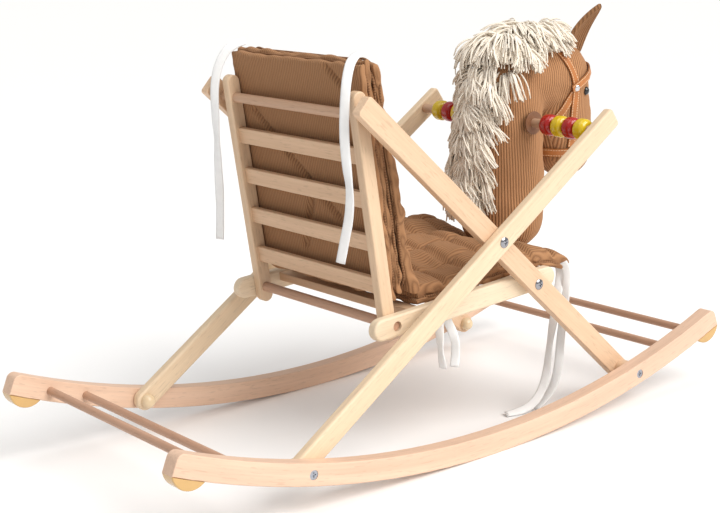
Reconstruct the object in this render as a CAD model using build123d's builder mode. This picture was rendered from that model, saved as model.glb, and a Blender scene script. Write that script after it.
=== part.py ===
from build123d import *
from math import atan2, cos, degrees, hypot, radians, sin, tan
import os

# Toddler's rocking horse, in millimetres. +X is the way the horse faces, +Y its left, +Z up.
# Two bent rockers carry a pair of crossed arms on each side. The long handle arms rise forward
# to the bar with the play beads, and the back arms rise rearward to the top of the backrest.
# The seat rails hang between the back arms and the backrest's stiles.
#
# Every wooden piece is laid out in a bench view from the side: x runs forward and z up from the
# lowest point of the rockers' arc. The bench view is then tipped by rest_tilt about the arc's
# centre, the angle at which the horse comes to rest with its weight over the floor contact.

# Rockers
rocker_radius = 1150.0
rocker_depth = 26.0
rocker_thickness = 20.0
rocker_half_angle = 22.0
rocker_end_radius = 9.0
overall_width = 376.0
rest_tilt = 1.113
bench_shift = 20.71

# Strips and slats
strip_thickness = 13.0
arm_width = 26.0
rail_width = 26.0
stile_width = 18.0
back_slat_height = 19.5
back_slat_thickness = 7.0
seat_slat_width = 17.0
seat_slat_thickness = 11.0
tenon_length = 5.0

# Side view layout, bench coordinates
mid_depth_radius = rocker_radius - rocker_depth / 2
rear_bolt_angle = -12.85
front_bolt_angle = 14.0
cross_bolt = (50.0, 250.0)
seat_bolt_reach = 206.0
back_dowel_reach = 546.7
lower_dowel = (-94.0, 168.8)
handle_arm_length = 600.0
handle_bar_reach = 566.0
handle_bar_rise = 3.0
back_arm_length = 571.0

# Round stock
dowel_diameter = 12.0
rocker_dowel_diameter = 10.0
rocker_dowel_angles = {
    "rear_end_dowel": -19.4,
    "rear_inner_dowel": -16.9,
    "front_inner_dowel": 17.6,
    "front_end_dowel": 19.95,
}
blind_hole_depth = 8.0
hole_clearance = 0.05

# Beads
bead_diameter = 27.4
bead_length = 18.8
bead_pitch = 19.0
first_bead_offset = {"right": 83.0, "left": 64.5}

# Distances of each layer from the middle of the horse, outside to inside
rocker_outer = overall_width / 2
rocker_inner = rocker_outer - rocker_thickness
handle_arm_inner = rocker_inner - strip_thickness
back_arm_inner = handle_arm_inner - strip_thickness
rail_inner = back_arm_inner - strip_thickness
stile_inner = rail_inner - strip_thickness

sides = {"right": -1, "left": 1}
os.makedirs("parts", exist_ok=True)


def side_plane(y):
    """Bench view at distance y from the middle, facing the horse's right side."""
    tilt = radians(rest_tilt)
    origin = (bench_shift - rocker_radius * sin(tilt), y, rocker_radius * (1 - cos(tilt)))
    return Plane(origin=origin, x_dir=(cos(tilt), 0, -sin(tilt)), z_dir=(0, -1, 0))


def layer_start(side, inner, outer):
    """The y where a layer between two distances from the middle starts, on the given side."""
    return -inner if side < 0 else outer


def on_arc(angle, radius=mid_depth_radius):
    """Bench point at an angle, in degrees, along the rockers' arc."""
    return (radius * sin(radians(angle)), rocker_radius - radius * cos(radians(angle)))


def along(start, target, distance, rise=0.0):
    """Bench point at a distance from start towards target, lifted square to that line."""
    length = hypot(target[0] - start[0], target[1] - start[1])
    ux, uz = (target[0] - start[0]) / length, (target[1] - start[1]) / length
    return (start[0] + ux * distance - uz * rise, start[1] + uz * distance + ux * rise)


def slope(start, target):
    """Angle of the line between two bench points, in degrees."""
    return degrees(atan2(target[1] - start[1], target[0] - start[0]))


def in_space(point, y):
    """Bench point at distance y from the middle, in the model's own frame."""
    return side_plane(y).from_local_coords((point[0], point[1], 0))


def finish(builder, label):
    """Name a finished piece and write it."""
    builder.part.label = label
    export_step(builder.part, f"parts/{label}.step")


rear_bolt = on_arc(rear_bolt_angle)
front_bolt = on_arc(front_bolt_angle)
seat_bolt = along(front_bolt, cross_bolt, seat_bolt_reach)
back_dowel = along(front_bolt, cross_bolt, back_dowel_reach)
handle_bar = along(rear_bolt, cross_bolt, handle_bar_reach, handle_bar_rise)
back_slope = slope(lower_dowel, back_dowel)
rail_slope = slope(lower_dowel, seat_bolt)

# ---------------------------------------------------------------- rockers and their stops
rocker_edge_radius = 1.2
bolt_shank = 6.0
rocker_bolt_head = 11.0
rocker_bolt_recess = 3.0

for side_name, side in sides.items():
    with BuildPart() as rocker:
        with BuildSketch(side_plane(layer_start(side, rocker_inner, rocker_outer))):
            with BuildLine():
                sole = CenterArc((0, rocker_radius), rocker_radius,
                                 270 - rocker_half_angle, 2 * rocker_half_angle)
                top = CenterArc((0, rocker_radius), rocker_radius - rocker_depth,
                                270 - rocker_half_angle, 2 * rocker_half_angle)
                Line(sole @ 0, top @ 0)
                Line(sole @ 1, top @ 1)
            make_face()
            corners = vertices().sort_by(Axis.Y)
            fillet(corners[-2:], rocker_end_radius)
        extrude(amount=rocker_thickness)
        fillet(rocker.faces().filter_by(Axis.Y).edges(), rocker_edge_radius)
        with BuildSketch(side_plane(layer_start(side, rocker_inner, rocker_inner + blind_hole_depth))):
            for angle in rocker_dowel_angles.values():
                with Locations(on_arc(angle)):
                    Circle(rocker_dowel_diameter / 2 + hole_clearance)
        extrude(amount=blind_hole_depth, mode=Mode.SUBTRACT)
        with BuildSketch(side_plane(layer_start(side, rocker_inner, rocker_outer))):
            with Locations(rear_bolt, front_bolt):
                Circle(bolt_shank / 2 + hole_clearance)
        extrude(amount=rocker_thickness, mode=Mode.SUBTRACT)
        recess_start = layer_start(side, rocker_outer - rocker_bolt_recess, rocker_outer)
        with BuildSketch(side_plane(recess_start)):
            with Locations(rear_bolt, front_bolt):
                Circle(rocker_bolt_head / 2 + 0.2)
        extrude(amount=rocker_bolt_recess, mode=Mode.SUBTRACT)
    finish(rocker, f"rocker_{side_name}")

# Half-moon stops under the rockers' ends, each held by one screw.
stop_angle = 20.95
stop_half_length = 21.0
stop_height = 12.0
stop_screw_diameter = 3.5
stop_screw_head = 6.0

half = degrees(stop_half_length / rocker_radius)
for end_name, end in {"rear": -1, "front": 1}.items():
    stop_top = on_arc(end * stop_angle, rocker_radius + stop_height)
    with BuildPart() as stops:
        for side in sides.values():
            with BuildSketch(side_plane(layer_start(side, rocker_inner, rocker_outer))):
                with BuildLine():
                    seat = CenterArc((0, rocker_radius), rocker_radius,
                                     270 + end * stop_angle - half, 2 * half)
                    ThreePointArc(seat @ 0, stop_top, seat @ 1)
                make_face()
            stop = extrude(amount=rocker_thickness)
            fillet(stop.faces().filter_by(Axis.Y).edges()
                   .filter_by(lambda e: abs(e.radius - rocker_radius) > 1), 1.5)
            screw_plane = Plane(
                in_space(stop_top, side * (rocker_outer + rocker_inner) / 2),
                z_dir=(in_space((0, rocker_radius), 0) - in_space(stop_top, 0)))
            with BuildSketch(screw_plane):
                Circle(stop_screw_head / 2 + 0.2)
            extrude(amount=3, mode=Mode.SUBTRACT)
            with BuildSketch(screw_plane):
                Circle(stop_screw_diameter / 2)
            extrude(amount=stop_height + 6, mode=Mode.SUBTRACT)
    finish(stops, f"stops_{end_name}")

with BuildPart() as stop_screws:
    for end in (-1, 1):
        for side in sides.values():
            tip = on_arc(end * stop_angle, rocker_radius + stop_height - 2)
            head_plane = Plane(
                in_space(tip, side * (rocker_outer + rocker_inner) / 2),
                z_dir=(in_space((0, rocker_radius), 0) - in_space(on_arc(end * stop_angle), 0)))
            with BuildSketch(head_plane):
                Circle(stop_screw_head / 2)
            extrude(amount=1.0)
            with BuildSketch(head_plane.offset(1.0)):
                Circle(stop_screw_diameter / 2)
            extrude(amount=stop_height - 4)
finish(stop_screws, "stop_screws")

# Round bars between the rockers, their ends in blind holes.
for dowel_name, angle in rocker_dowel_angles.items():
    reach = rocker_inner + blind_hole_depth - 0.5
    with BuildPart() as dowel:
        with BuildSketch(side_plane(reach)):
            with Locations(on_arc(angle)):
                Circle(rocker_dowel_diameter / 2)
        extrude(amount=2 * reach)
        chamfer(dowel.edges().filter_by(GeomType.CIRCLE), 0.8)
    finish(dowel, dowel_name)

# ---------------------------------------------------------------- crossed arms
handle_arm_edge = 3.5
back_arm_edge = 1.2
sleeve_diameter = 8.0

for side_name, side in sides.items():
    # Handle arm: rear of the rocker to the handle bar, its long edges well rounded.
    foot = along(rear_bolt, cross_bolt, -arm_width / 2)
    middle = along(foot, cross_bolt, (handle_arm_length + arm_width / 2) / 2)
    with BuildPart() as handle_arm:
        with BuildSketch(side_plane(layer_start(side, handle_arm_inner, rocker_inner))):
            with Locations(middle):
                Rectangle(handle_arm_length + arm_width / 2, arm_width,
                          rotation=slope(rear_bolt, cross_bolt))
            fillet(vertices().sort_by(Axis.Y)[:2], arm_width / 2 - 0.1)
            fillet(vertices().sort_by(Axis.Y)[-2:], 5)
        extrude(amount=strip_thickness)
        fillet(handle_arm.faces().filter_by(Axis.Y).edges(), handle_arm_edge)
        with BuildSketch(side_plane(layer_start(side, handle_arm_inner, rocker_inner))):
            with Locations(rear_bolt):
                Circle(bolt_shank / 2 + hole_clearance)
            with Locations(cross_bolt):
                Circle(sleeve_diameter / 2 + hole_clearance)
        extrude(amount=strip_thickness, mode=Mode.SUBTRACT)
        bar_hole = layer_start(side, handle_arm_inner, handle_arm_inner + blind_hole_depth)
        with BuildSketch(side_plane(bar_hole)):
            with Locations(handle_bar):
                Circle(dowel_diameter / 2 + hole_clearance)
        extrude(amount=blind_hole_depth, mode=Mode.SUBTRACT)
    finish(handle_arm, f"handle_arm_{side_name}")

    # Back arm: front of the rocker to the top of the backrest, nearly square in section.
    foot = along(front_bolt, cross_bolt, -arm_width / 2)
    middle = along(foot, cross_bolt, (back_arm_length + arm_width / 2) / 2)
    with BuildPart() as back_arm:
        with BuildSketch(side_plane(layer_start(side, back_arm_inner, handle_arm_inner))):
            with Locations(middle):
                Rectangle(back_arm_length + arm_width / 2, arm_width,
                          rotation=slope(front_bolt, cross_bolt))
            fillet(vertices().sort_by(Axis.Y)[:2], arm_width / 2 - 0.1)
            fillet(vertices().sort_by(Axis.Y)[-2:], 4)
        extrude(amount=strip_thickness)
        fillet(back_arm.faces().filter_by(Axis.Y).edges(), back_arm_edge)
        with BuildSketch(side_plane(layer_start(side, back_arm_inner, handle_arm_inner))):
            with Locations(front_bolt):
                Circle(bolt_shank / 2 + hole_clearance)
            with Locations(cross_bolt, seat_bolt):
                Circle(sleeve_diameter / 2 + hole_clearance)
        extrude(amount=strip_thickness, mode=Mode.SUBTRACT)
        bar_hole = layer_start(side, back_arm_inner, back_arm_inner + blind_hole_depth)
        with BuildSketch(side_plane(bar_hole)):
            with Locations(back_dowel):
                Circle(dowel_diameter / 2 + hole_clearance)
        extrude(amount=blind_hole_depth, mode=Mode.SUBTRACT)
    finish(back_arm, f"back_arm_{side_name}")

# Round spacers that fill the handle arms' layer at the back arms' feet.
with BuildPart() as arm_spacers:
    for side in sides.values():
        with BuildSketch(side_plane(layer_start(side, handle_arm_inner, rocker_inner))):
            with Locations(front_bolt):
                Circle(arm_width / 2 - 1)
                Circle(bolt_shank / 2 + hole_clearance, mode=Mode.SUBTRACT)
        extrude(amount=strip_thickness)
finish(arm_spacers, "arm_spacers")

# ---------------------------------------------------------------- seat frame
rail_end_reach = 34.0
rail_front_reach = 259.0
rail_edge = 3.0
seat_slat_drop = 4.0
seat_slat_reaches = [40 + 51 * step for step in range(5)]
seat_slat_rise = rail_width / 2 - seat_slat_drop - seat_slat_thickness / 2

for side_name, side in sides.items():
    rail_middle = along(lower_dowel, seat_bolt, (rail_front_reach - rail_end_reach) / 2)
    with BuildPart() as rail:
        with BuildSketch(side_plane(layer_start(side, rail_inner, back_arm_inner))):
            with Locations(rail_middle):
                SlotOverall(rail_end_reach + rail_front_reach, rail_width, rotation=rail_slope)
        extrude(amount=strip_thickness)
        fillet(rail.faces().filter_by(Axis.Y).edges(), rail_edge)
        with BuildSketch(side_plane(layer_start(side, rail_inner, back_arm_inner))):
            with Locations(lower_dowel):
                Circle(dowel_diameter / 2 + hole_clearance)
            with Locations(seat_bolt):
                Circle(sleeve_diameter / 2 + hole_clearance)
        extrude(amount=strip_thickness, mode=Mode.SUBTRACT)
        with BuildSketch(side_plane(layer_start(side, rail_inner, rail_inner + tenon_length))):
            for reach in seat_slat_reaches:
                with Locations(along(lower_dowel, seat_bolt, reach, seat_slat_rise)):
                    Rectangle(seat_slat_width, seat_slat_thickness, rotation=rail_slope)
        extrude(amount=tenon_length, mode=Mode.SUBTRACT)
    finish(rail, f"seat_rail_{side_name}")

for number, reach in enumerate(seat_slat_reaches, start=1):
    half_span = rail_inner + tenon_length - 0.2
    with BuildPart() as seat_slat:
        with BuildSketch(side_plane(half_span)):
            with Locations(along(lower_dowel, seat_bolt, reach, seat_slat_rise)):
                Rectangle(seat_slat_width, seat_slat_thickness, rotation=rail_slope)
        extrude(amount=2 * half_span)
        fillet(seat_slat.edges().filter_by(Axis.Y), 1.2)
    finish(seat_slat, f"seat_slat_{number}")

# ---------------------------------------------------------------- backrest
stile_foot_reach = 20.0
stile_top_reach = 275.0
stile_edge = 2.0
back_slat_reaches = [45.2 + 51.5 * step for step in range(4)]

for side_name, side in sides.items():
    stile_middle = along(lower_dowel, back_dowel, (stile_top_reach - stile_foot_reach) / 2)
    with BuildPart() as stile:
        with BuildSketch(side_plane(layer_start(side, stile_inner, rail_inner))):
            with Locations(stile_middle):
                SlotOverall(stile_foot_reach + stile_top_reach, stile_width, rotation=back_slope)
        extrude(amount=strip_thickness)
        fillet(stile.faces().filter_by(Axis.Y).edges(), stile_edge)
        with BuildSketch(side_plane(layer_start(side, stile_inner, rail_inner))):
            with Locations(lower_dowel, back_dowel):
                Circle(dowel_diameter / 2 + hole_clearance)
        extrude(amount=strip_thickness, mode=Mode.SUBTRACT)
        with BuildSketch(side_plane(layer_start(side, stile_inner, stile_inner + tenon_length))):
            for reach in back_slat_reaches:
                with Locations(along(lower_dowel, back_dowel, reach)):
                    Rectangle(back_slat_height, back_slat_thickness, rotation=back_slope)
        extrude(amount=tenon_length, mode=Mode.SUBTRACT)
    finish(stile, f"back_stile_{side_name}")

for number, reach in enumerate(back_slat_reaches, start=1):
    half_span = stile_inner + tenon_length - 0.2
    with BuildPart() as back_slat:
        with BuildSketch(side_plane(half_span)):
            with Locations(along(lower_dowel, back_dowel, reach)):
                Rectangle(back_slat_height, back_slat_thickness, rotation=back_slope)
        extrude(amount=2 * half_span)
        fillet(back_slat.edges().filter_by(Axis.Y), 1.2)
    finish(back_slat, f"back_slat_{number}")

# Lower dowel: pins the stiles to the rails and stops just short of the rails' outer faces.
# Top dowel: pins the stiles to the back arms. Handle bar: carries the head and the beads.
long_dowels = {
    "lower_dowel": (lower_dowel, back_arm_inner - 3.0),
    "top_dowel": (back_dowel, back_arm_inner + blind_hole_depth - 0.5),
    "handle_bar": (handle_bar, handle_arm_inner + blind_hole_depth - 0.5),
}
for dowel_name, (spot, reach) in long_dowels.items():
    with BuildPart() as dowel:
        with BuildSketch(side_plane(reach)):
            with Locations(spot):
                Circle(dowel_diameter / 2)
        extrude(amount=2 * reach)
        chamfer(dowel.edges().filter_by(GeomType.CIRCLE), 0.8)
    finish(dowel, dowel_name)

# ---------------------------------------------------------------- fasteners
head_diameter = 13.0
head_height = 2.4
recess_depth = 1.2
recess_width = 1.6
recess_span = 6.0
screw_core = 5.0


def outward(point, side, distance):
    """Plane on a side's bolt axis at a distance from the middle, facing away from the horse."""
    return Plane(in_space(point, side * distance), x_dir=(1, 0, 0), z_dir=(0, side, 0))


def section(plane):
    """Plane through a bolt's axis, with its local Y along that axis."""
    return Plane(plane.origin, x_dir=plane.x_dir, z_dir=-plane.y_dir)


def domed_head(plane, diameter, height):
    """Domed round head standing on the plane, with a cross slot in its crown."""
    with BuildPart() as head:
        with BuildSketch(section(plane)):
            with BuildLine():
                rim = Line((0, 0), (diameter / 2, 0))
                wall = Line(rim @ 1, (diameter / 2, height * 0.3))
                crown = ThreePointArc(wall @ 1, (diameter * 0.3, height * 0.82), (0, height))
                Line(crown @ 1, (0, 0))
            make_face()
        revolve(axis=Axis(plane.origin, plane.z_dir))
        with BuildSketch(plane.offset(height - recess_depth)):
            Rectangle(recess_span, recess_width)
            Rectangle(recess_width, recess_span)
        extrude(amount=recess_depth + 1, mode=Mode.SUBTRACT)
    return head.part


with BuildPart() as rocker_bolts:
    for side in sides.values():
        for spot, tip in ((rear_bolt, handle_arm_inner), (front_bolt, back_arm_inner)):
            base = outward(spot, side, rocker_outer - rocker_bolt_recess)
            with BuildSketch(base):
                Circle(rocker_bolt_head / 2)
            extrude(amount=rocker_bolt_recess - 0.6)
            with BuildSketch(base.offset(recess_depth)):
                Rectangle(recess_span, recess_width)
                Rectangle(recess_width, recess_span)
            extrude(amount=rocker_bolt_recess, mode=Mode.SUBTRACT)
            with BuildSketch(base):
                Circle(bolt_shank / 2)
            extrude(amount=-(rocker_outer - rocker_bolt_recess - tip + 6))
finish(rocker_bolts, "rocker_bolts")

cap_diameter = 18.0
cap_height = 11.0
cap_rounding = 8.0
with BuildPart() as cap_nuts:
    for side in sides.values():
        for spot, seat_distance in ((rear_bolt, handle_arm_inner), (front_bolt, back_arm_inner)):
            base = outward(spot, -side, -seat_distance)
            with BuildSketch(base):
                Circle(cap_diameter / 2)
            cap = extrude(amount=cap_height)
            fillet(cap.edges().sort_by(Axis(base.origin, base.z_dir))[-1], cap_rounding)
            with BuildSketch(base):
                Circle(bolt_shank / 2 + hole_clearance)
            extrude(amount=6.2, mode=Mode.SUBTRACT)
finish(cap_nuts, "cap_nuts")

# Cross bolts join the arms, seat bolts join the back arms to the rails: each is a sleeve nut
# from outside and a screw from inside.
grip = 2 * strip_thickness
bolt_spots = ((cross_bolt, rocker_inner), (seat_bolt, handle_arm_inner))

with BuildPart() as bolt_sleeves:
    for side in sides.values():
        for spot, outer_face in bolt_spots:
            base = outward(spot, side, outer_face)
            add(domed_head(base, head_diameter, head_height))
            with BuildSketch(base):
                Circle(sleeve_diameter / 2)
            extrude(amount=-(grip - 4))
            with BuildSketch(base.offset(4 - grip)):
                Circle(screw_core / 2 + hole_clearance)
            extrude(amount=grip - 10, mode=Mode.SUBTRACT)
finish(bolt_sleeves, "bolt_sleeves")

with BuildPart() as bolt_screws:
    for side in sides.values():
        for spot, outer_face in bolt_spots:
            base = outward(spot, -side, grip - outer_face)
            add(domed_head(base, head_diameter, head_height))
            with BuildSketch(base):
                Circle(screw_core / 2)
            extrude(amount=-(grip - 8))
finish(bolt_screws, "bolt_screws")

# ---------------------------------------------------------------- beads and washers on the bar
bead_rounding = 7.0
washer_diameter = 30.0
washer_thickness = 2.5
washer_offset = {"right": 54.5, "left": 52.0}
bead_colours = ("red", "yellow", "red", "yellow")


def ring_on_bar(centre, length, diameter, rounding):
    """Ring round the handle bar: its centre's y, its length along the bar and its rounding."""
    with BuildPart() as ring:
        with BuildSketch(Plane(in_space(handle_bar, centre), x_dir=(0, 1, 0), z_dir=(1, 0, 0))):
            bore = dowel_diameter / 2 + hole_clearance
            with Locations((0, (bore + diameter / 2) / 2)):
                Rectangle(length, diameter / 2 - bore)
            fillet(vertices().sort_by(Axis.Y)[-2:], rounding)
        revolve(axis=Axis(in_space(handle_bar, centre), (0, 1, 0)))
    return ring.part


with BuildPart() as bar_washers:
    for side_name, side in sides.items():
        add(ring_on_bar(side * washer_offset[side_name], washer_thickness, washer_diameter, 0.8))
finish(bar_washers, "bar_washers")

for side_name, side in sides.items():
    for number, colour in enumerate(bead_colours):
        bead_offset = first_bead_offset[side_name] + bead_pitch * number
        with BuildPart() as bead:
            add(ring_on_bar(side * bead_offset, bead_length, bead_diameter, bead_rounding))
        finish(bead, f"bead_{side_name}_{number + 1}_{colour}")

# ---------------------------------------------------------------- stuffed horse's head
# The head and neck are a sewn skin with loose fibre inside, so the solid is a closed shell.
neck_half_width = 46.0
skin_thickness = 2.5
bar_tunnel = dowel_diameter / 2 + hole_clearance
head_outline = [
    (205, 217), (250, 224), (255, 280), (256, 330), (268, 338), (283, 312), (290, 284),
    (322, 271), (360, 277), (373, 300), (368, 345), (360, 400), (350, 442), (318, 466),
    (262, 478), (210, 466), (172, 425), (152, 360), (147, 290), (156, 218),
]

with BuildPart() as head_block:
    with BuildSketch(side_plane(neck_half_width)):
        with BuildLine():
            Spline(*head_outline, periodic=True)
        make_face()
    extrude(amount=2 * neck_half_width)

with BuildPart() as horse_head:
    add(head_block.part)
    with BuildSketch(side_plane(0)):
        with BuildLine():
            Polyline(*head_outline, close=True)
        make_face()
        offset(amount=-skin_thickness)
        with Locations(handle_bar):
            Circle(bar_tunnel + skin_thickness, mode=Mode.SUBTRACT)
    extrude(amount=neck_half_width - skin_thickness, both=True, mode=Mode.SUBTRACT)
    with BuildSketch(side_plane(neck_half_width)):
        with Locations(handle_bar):
            Circle(bar_tunnel)
    extrude(amount=2 * neck_half_width, mode=Mode.SUBTRACT)
finish(horse_head, "horse_head")

# Ears: leaf-shaped pads standing out from the top of the head.
ear_length = 62.0
ear_width = 34.0
ear_thickness = 9.0
ear_root = (322.0, 462.0)
ear_spread = 27.0
ear_lean = {"right": 34.0, "left": 75.0}

with BuildPart() as ears:
    for side_name, side in sides.items():
        root = in_space(ear_root, side * ear_spread)
        lean = radians(ear_lean[side_name])
        up = Vector(0.12, side * sin(lean), cos(lean)).normalized()
        with BuildSketch(Plane(root, x_dir=up, z_dir=Vector(1, 0, 0).cross(up))):
            with BuildLine():
                rim = ThreePointArc((0, -ear_width * 0.36), (ear_length * 0.4, -ear_width / 2),
                                    (ear_length, 0))
                ThreePointArc(rim @ 1, (ear_length * 0.4, ear_width / 2), (0, ear_width * 0.36))
                Line((0, ear_width * 0.36), rim @ 0)
            make_face()
        extrude(amount=ear_thickness / 2, both=True)
    add(head_block.part, mode=Mode.SUBTRACT)
finish(ears, "ears")

# Mane: a hood of fringe over the crest and down both flanks of the neck.
mane_half_width = neck_half_width + 5.0
mane_thickness = 3.0
mane_outer = [
    (352, 458), (318, 488), (262, 500), (205, 488), (152, 446), (120, 390), (104, 320),
    (112, 262), (132, 238),
]
mane_inner = [
    (160, 240), (176, 300), (186, 352), (206, 402), (248, 432), (300, 444), (336, 450),
]
with BuildPart() as mane:
    with BuildSketch(side_plane(mane_half_width)):
        with BuildLine():
            crest = Spline(*mane_outer)
            hem = Spline(*mane_inner)
            Line(crest @ 1, hem @ 0)
            Line(hem @ 1, crest @ 0)
        make_face()
    extrude(amount=2 * mane_half_width)
    with BuildSketch(side_plane(0)):
        with BuildLine():
            Polyline(*mane_outer, *mane_inner, close=True)
        make_face()
        offset(amount=-mane_thickness)
    extrude(amount=mane_half_width - mane_thickness, both=True, mode=Mode.SUBTRACT)
    add(head_block.part, mode=Mode.SUBTRACT)
    for ear_side in sides.values():
        with Locations(Location(in_space(ear_root, ear_side * 40.0))):
            Box(60, 44, 90, mode=Mode.SUBTRACT)
finish(mane, "mane")

# Bridle: leather straps lying on the head, with rivets where they cross, and button eyes.
strap_width = 9.0
strap_thickness = 2.0
strap_gap = 0.3
cheek_points = [(300, 456), (306, 430), (298, 401), (297, 366), (297, 330)]
noseband_height = 322.0
noseband_span = (279.0, 377.0)
browband_height = 404.0
browband_span = (293.0, 368.0)
rivet_spots = [(298, 401), (297, 337)]
eye_spot = (326.0, 392.0)

with BuildPart() as cheek_straps:
    for side in sides.values():
        inner = neck_half_width + strap_gap
        with BuildSketch(side_plane(layer_start(side, inner, inner + strap_thickness))):
            with BuildLine():
                Spline(*cheek_points)
            trace(line_width=strap_width)
        extrude(amount=strap_thickness)
finish(cheek_straps, "bridle_cheek_straps")

band_outer = neck_half_width + strap_gap + 2 * strap_thickness + 0.3
band_inner = neck_half_width + strap_gap + strap_thickness + 0.2
for band_name, height, span in (("noseband", noseband_height, noseband_span),
                                ("browband", browband_height, browband_span)):
    centre = (span[0] + span[1]) / 2
    with BuildPart() as band:
        with BuildSketch(side_plane(band_outer)):
            with Locations((centre, height)):
                Rectangle(span[1] - span[0] + 2 * strap_thickness, strap_width)
        extrude(amount=2 * band_outer)
        with BuildSketch(side_plane(band_inner)):
            with Locations((centre, height)):
                Rectangle(span[1] - span[0], strap_width + 2)
        extrude(amount=2 * band_inner, mode=Mode.SUBTRACT)
        if band_name == "browband":
            with BuildSketch(side_plane(band_outer)):
                with Locations((span[0] - strap_thickness, height)):
                    Rectangle(2 * strap_thickness, strap_width + 2)
            extrude(amount=2 * band_outer, mode=Mode.SUBTRACT)
    finish(band, f"bridle_{band_name}")

rivet_diameter = 8.0
rivet_height = 2.4
with BuildPart() as rivets:
    for side in sides.values():
        for spot, seat in ((rivet_spots[0], band_outer),
                           (rivet_spots[1], neck_half_width + strap_gap + strap_thickness)):
            with BuildSketch(outward(spot, side, seat)):
                Circle(rivet_diameter / 2)
            rivet = extrude(amount=rivet_height)
            fillet(rivet.edges().sort_by(Axis(in_space(spot, 0), (0, side, 0)))[-1], 1.8)
finish(rivets, "bridle_rivets")

eye_diameter = 13.0
eye_height = 5.0
with BuildPart() as eyes:
    for side in sides.values():
        with BuildSketch(outward(eye_spot, side, neck_half_width + 0.1)):
            Circle(eye_diameter / 2)
        eye = extrude(amount=eye_height)
        fillet(eye.edges().sort_by(Axis(in_space(eye_spot, 0), (0, side, 0)))[-1], 4)
finish(eyes, "eyes")

# ---------------------------------------------------------------- corduroy cushion
back_cushion_half_width = 122.0
back_cushion_thickness = 28.0
back_cushion_reaches = (24.0, 303.0)
seat_cushion_half_width = 124.0
seat_cushion_thickness = 13.0
seat_cushion_reaches = (47.0, 304.0)
cushion_gap = 0.4
cushion_rounding = 5.0

with BuildPart() as back_cushion:
    low, high = back_cushion_reaches
    drop = stile_width / 2 + cushion_gap + back_cushion_thickness / 2
    with BuildSketch(side_plane(back_cushion_half_width)):
        with Locations(along(lower_dowel, back_dowel, (low + high) / 2, -drop)):
            Rectangle(high - low, back_cushion_thickness, rotation=back_slope)
    extrude(amount=2 * back_cushion_half_width)
    fillet(back_cushion.edges(), cushion_rounding)
finish(back_cushion, "back_cushion")

with BuildPart() as seat_cushion:
    low, high = seat_cushion_reaches
    lift = rail_width / 2 - seat_slat_drop + cushion_gap + seat_cushion_thickness / 2
    with BuildSketch(side_plane(seat_cushion_half_width)):
        with Locations(along(lower_dowel, seat_bolt, (low + high) / 2, lift)):
            Rectangle(high - low, seat_cushion_thickness, rotation=rail_slope)
    extrude(amount=2 * seat_cushion_half_width)
    fillet(seat_cushion.edges(), cushion_rounding)
finish(seat_cushion, "seat_cushion")

# ---------------------------------------------------------------- cotton tie tapes
# Each tape hangs free from the cushion. Its solid is a slim round run along the tape's middle.
tape_diameter = 4.0
tape_bend_share = 0.45
tape_routes = {
    "tie_back_right": [
        (-117, -110, 481), (-132, -114, 478), (-144, -119, 458), (-150, -122, 430),
        (-151, -121, 395), (-150, -123, 362), (-150, -129, 332), (-150, -127, 302),
        (-149, -116, 272), (-148, -107, 246),
    ],
    "tie_back_left": [
        (-117, 113, 481), (-132, 121, 478), (-145, 129, 458), (-151, 133, 430),
        (-151, 133, 395), (-149, 134, 360), (-148, 135, 325), (-147, 135, 290),
        (-147, 136, 262), (-148, 137, 235),
    ],
    "tie_seat_rear": [
        (-15, -126.5, 172), (-17, -127, 158), (-20, -132, 140), (-21, -134, 121),
        (-16, -133, 101),
    ],
    "tie_seat_front": [
        (-8, -126.5, 172), (-5, -127, 158), (1, -132, 142), (5, -134, 122), (2, -133, 99),
    ],
    "tie_front_outer": [
        (196, -124, 196), (205, -124, 186), (203, -124, 160), (198, -125, 128),
        (193, -125, 96), (191, -125, 68), (187, -124, 43), (176, -121, 21),
        (158, -116, 6.2),
    ],
    "tie_front_inner": [
        (196, -114, 196), (204, -114, 185), (196, -117, 158), (186, -120, 126),
        (178, -121, 95), (175, -121, 66), (171, -120, 42), (160, -117, 19),
        (142, -110, 6.6), (120, -101, 4.8),
    ],
}


def bend_radii(points):
    """Largest arcs that a route's runs allow, one for each point between its ends."""
    radii = []
    for before, corner, after in zip(points, points[1:], points[2:]):
        arriving, leaving = corner - before, after - corner
        half_turn = radians(arriving.get_angle(leaving)) / 2
        shorter = min(arriving.length, leaving.length)
        radii.append(tape_bend_share * shorter / tan(half_turn))
    return radii


for tape_name, route in tape_routes.items():
    points = [in_space((x, z), y) for x, y, z in route]
    radii = bend_radii(points)
    with BuildPart() as tape:
        with BuildLine() as run:
            FilletPolyline(*points, radius=radii)
        with BuildSketch(Plane(run.wire() @ 0, z_dir=run.wire() % 0)):
            Circle(tape_diameter / 2)
        sweep()
    share = tape.part.volume / (run.wire().length * tape_diameter**2 * radians(180) / 4)
    print(f"{tape_name}: {run.wire().length:.0f} mm, least bend {min(radii):.0f} mm, {share:.3f}")
    finish(tape, tape_name)
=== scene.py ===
import math
import random

import bmesh
import bpy
from mathutils import Matrix, Vector, noise
from mathutils.bvhtree import BVHTree


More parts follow.
